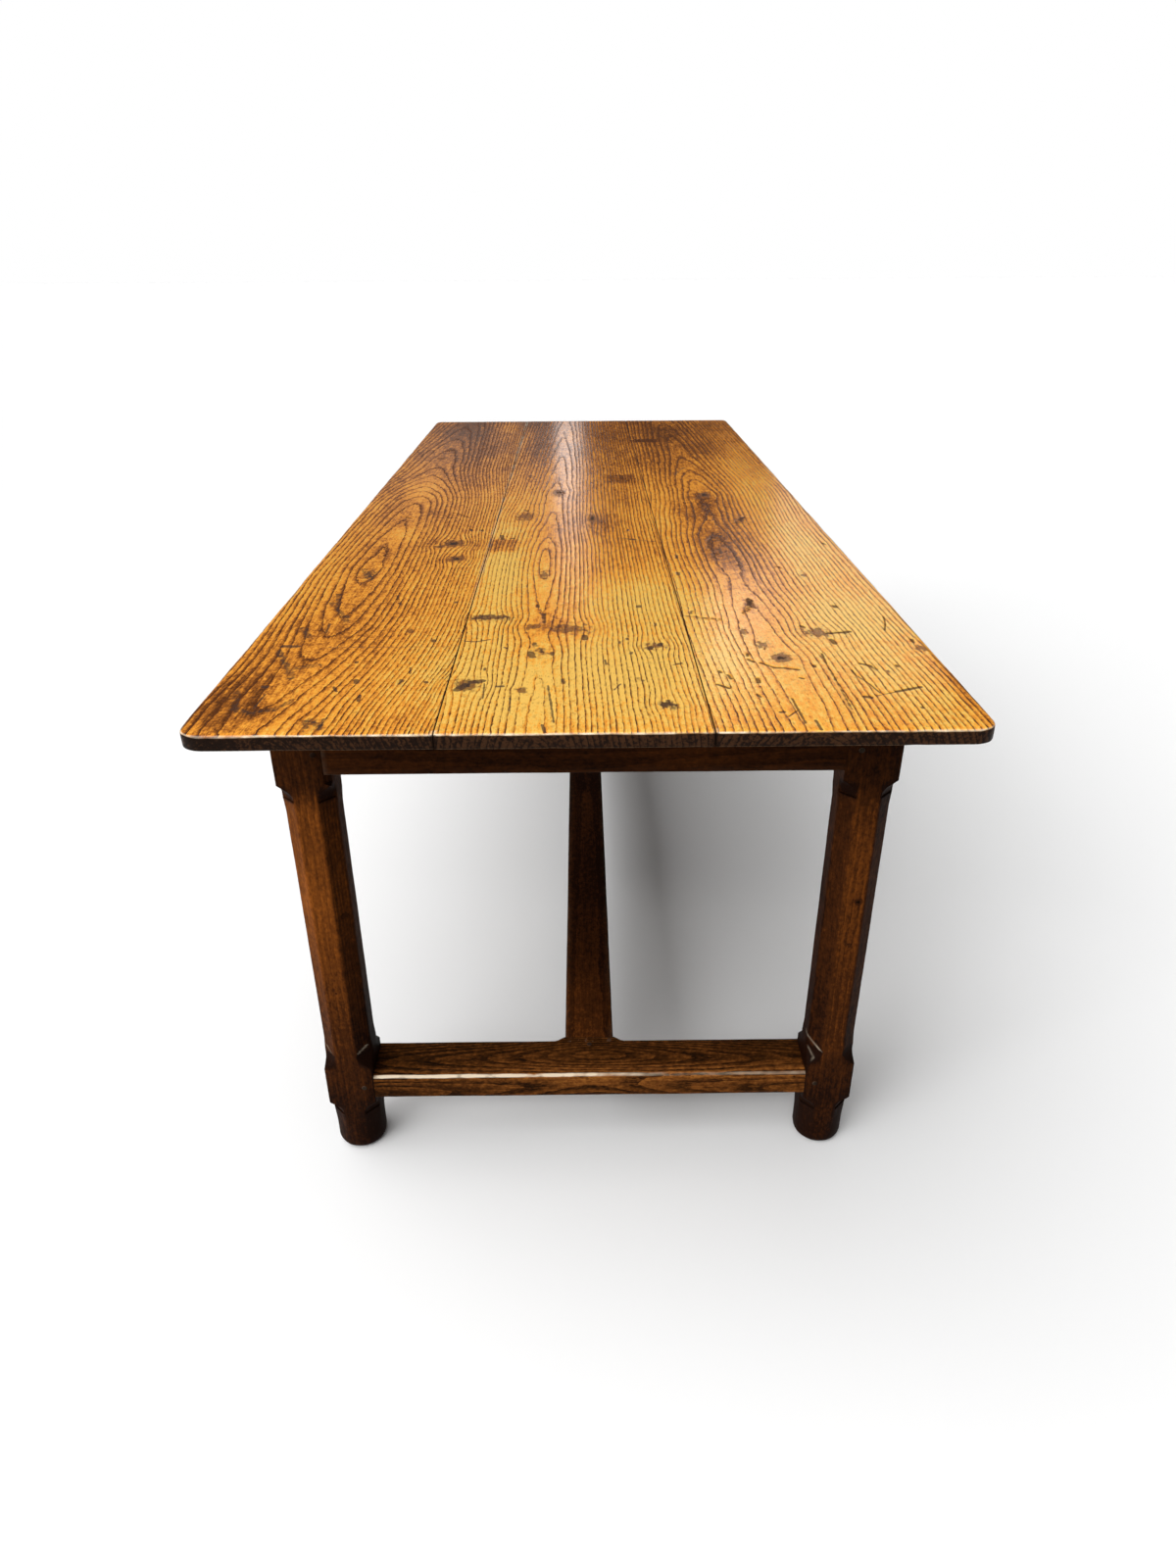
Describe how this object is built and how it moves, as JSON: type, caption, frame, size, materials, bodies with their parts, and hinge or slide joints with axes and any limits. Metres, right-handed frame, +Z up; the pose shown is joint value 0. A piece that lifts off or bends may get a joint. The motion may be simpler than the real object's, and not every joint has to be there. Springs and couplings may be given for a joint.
{
  "type": "dining table",
  "caption": "Long rectangular dining table: a plank top with rounded corners on chamfered octagonal legs, rails and a low H-shaped stretcher.",
  "frame": {"origin": "on the floor below the middle of the top", "axes": "+Z up, +Y along the table's length towards the back end, +X across it to the right"},
  "size_m": [0.8546, 2.192, 0.77],
  "materials": {
    "elm_top": "waxed and polished by use",
    "dark_oak": "stained dark and waxed",
    "oak_pegs": "end grain, stained dark and waxed",
    "beech": "bare, planed",
    "steel": "dull, turned"
  },
  "bodies": {
    "root": {"top_board_left": "elm_top", "top_board_middle": "elm_top", "top_board_right": "elm_top", "leg_front_left": "dark_oak", "leg_front_right": "dark_oak", "leg_back_left": "dark_oak", "leg_back_right": "dark_oak", "end_rail_front": "dark_oak", "end_rail_back": "dark_oak", "side_rail_left": "dark_oak", "side_rail_right": "dark_oak", "end_stretcher_front": "dark_oak", "end_stretcher_back": "dark_oak", "long_stretcher": "dark_oak", "bearer_front": "dark_oak", "bearer_back": "dark_oak", "end_rail_peg_front_left_lower": "oak_pegs", "end_rail_peg_front_left_upper": "oak_pegs", "end_rail_peg_front_right_lower": "oak_pegs", "end_rail_peg_front_right_upper": "oak_pegs", "end_rail_peg_back_left_lower": "oak_pegs", "end_rail_peg_back_left_upper": "oak_pegs", "end_rail_peg_back_right_lower": "oak_pegs", "end_rail_peg_back_right_upper": "oak_pegs", "side_rail_peg_front_left_lower": "oak_pegs", "side_rail_peg_front_left_upper": "oak_pegs", "side_rail_peg_front_right_lower": "oak_pegs", "side_rail_peg_front_right_upper": "oak_pegs", "side_rail_peg_back_left_lower": "oak_pegs", "side_rail_peg_back_left_upper": "oak_pegs", "side_rail_peg_back_right_lower": "oak_pegs", "side_rail_peg_back_right_upper": "oak_pegs", "stretcher_peg_front_left": "oak_pegs", "stretcher_peg_front_right": "oak_pegs", "stretcher_peg_back_left": "oak_pegs", "stretcher_peg_back_right": "oak_pegs", "long_stretcher_peg_front": "oak_pegs", "long_stretcher_peg_back": "oak_pegs", "loose_tongue_left": "beech", "loose_tongue_right": "beech", "button_front_left": "beech", "button_front_middle": "beech", "button_front_right": "beech", "button_back_left": "beech", "button_back_middle": "beech", "button_back_right": "beech", "button_screw_front_left": "steel", "button_screw_front_middle": "steel", "button_screw_front_right": "steel", "button_screw_back_left": "steel", "button_screw_back_middle": "steel", "button_screw_back_right": "steel", "bearer_screw_front_left": "steel", "bearer_screw_front_middle": "steel", "bearer_screw_front_right": "steel", "bearer_screw_back_left": "steel", "bearer_screw_back_middle": "steel", "bearer_screw_back_right": "steel"}
  },
  "joints": []
}
